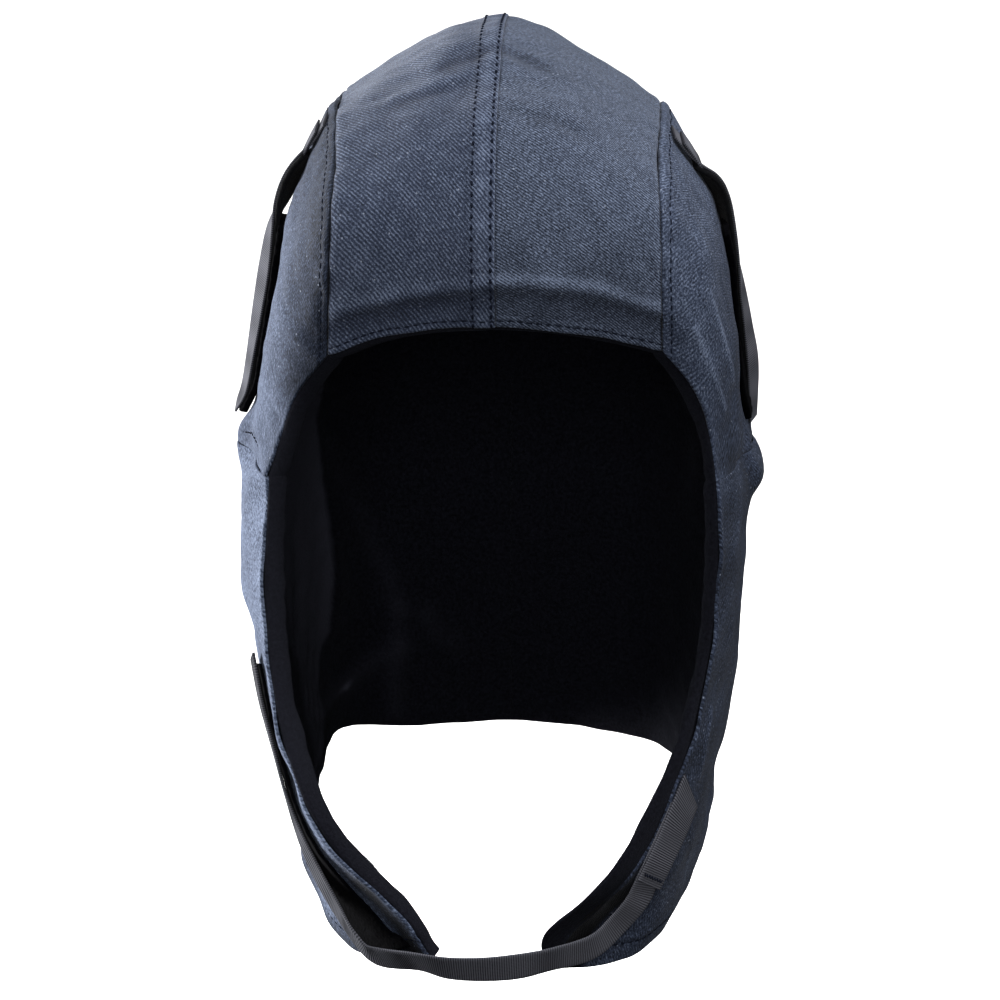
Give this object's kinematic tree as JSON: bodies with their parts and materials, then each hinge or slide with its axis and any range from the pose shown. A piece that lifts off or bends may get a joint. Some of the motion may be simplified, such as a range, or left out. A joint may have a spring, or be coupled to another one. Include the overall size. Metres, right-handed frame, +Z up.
{
  "type": "flame-resistant hood",
  "caption": "Fleece-lined twill winter hood with a paneled crown, a neck skirt that ends in chin flaps, temple straps and a chin strap",
  "frame": {"origin": "the seat: the inside of the crown's top, where the wearer's head carries the hood", "axes": "+Z up through the crown; the face opening looks along -Y; +X is to the right as seen from the front"},
  "size_m": [0.2181, 0.2451, 0.373],
  "materials": {
    "navy_twill": "matte brushed cotton twill",
    "black_fleece": "matte napped fleece",
    "charcoal_webbing": "ribbed woven webbing",
    "black_tape": "hook and loop tape"
  },
  "bodies": {
    "root": {"crown_left": "navy_twill", "crown_right": "navy_twill", "side_left": "navy_twill", "side_right": "navy_twill", "neck_left": "navy_twill", "neck_right": "navy_twill", "lining_crown": "black_fleece", "lining_side_left": "black_fleece", "lining_side_right": "black_fleece", "lining_neck": "black_fleece", "temple_strap_left": "charcoal_webbing", "temple_strap_right": "charcoal_webbing", "temple_tab_left": "charcoal_webbing", "temple_tab_right": "charcoal_webbing", "temple_hook_left": "black_tape", "temple_hook_right": "black_tape", "temple_loop_left": "black_tape", "temple_loop_right": "black_tape", "chin_strap": "charcoal_webbing", "chin_tab": "charcoal_webbing", "chin_hook": "black_tape", "chin_loop": "black_tape"}
  },
  "joints": []
}
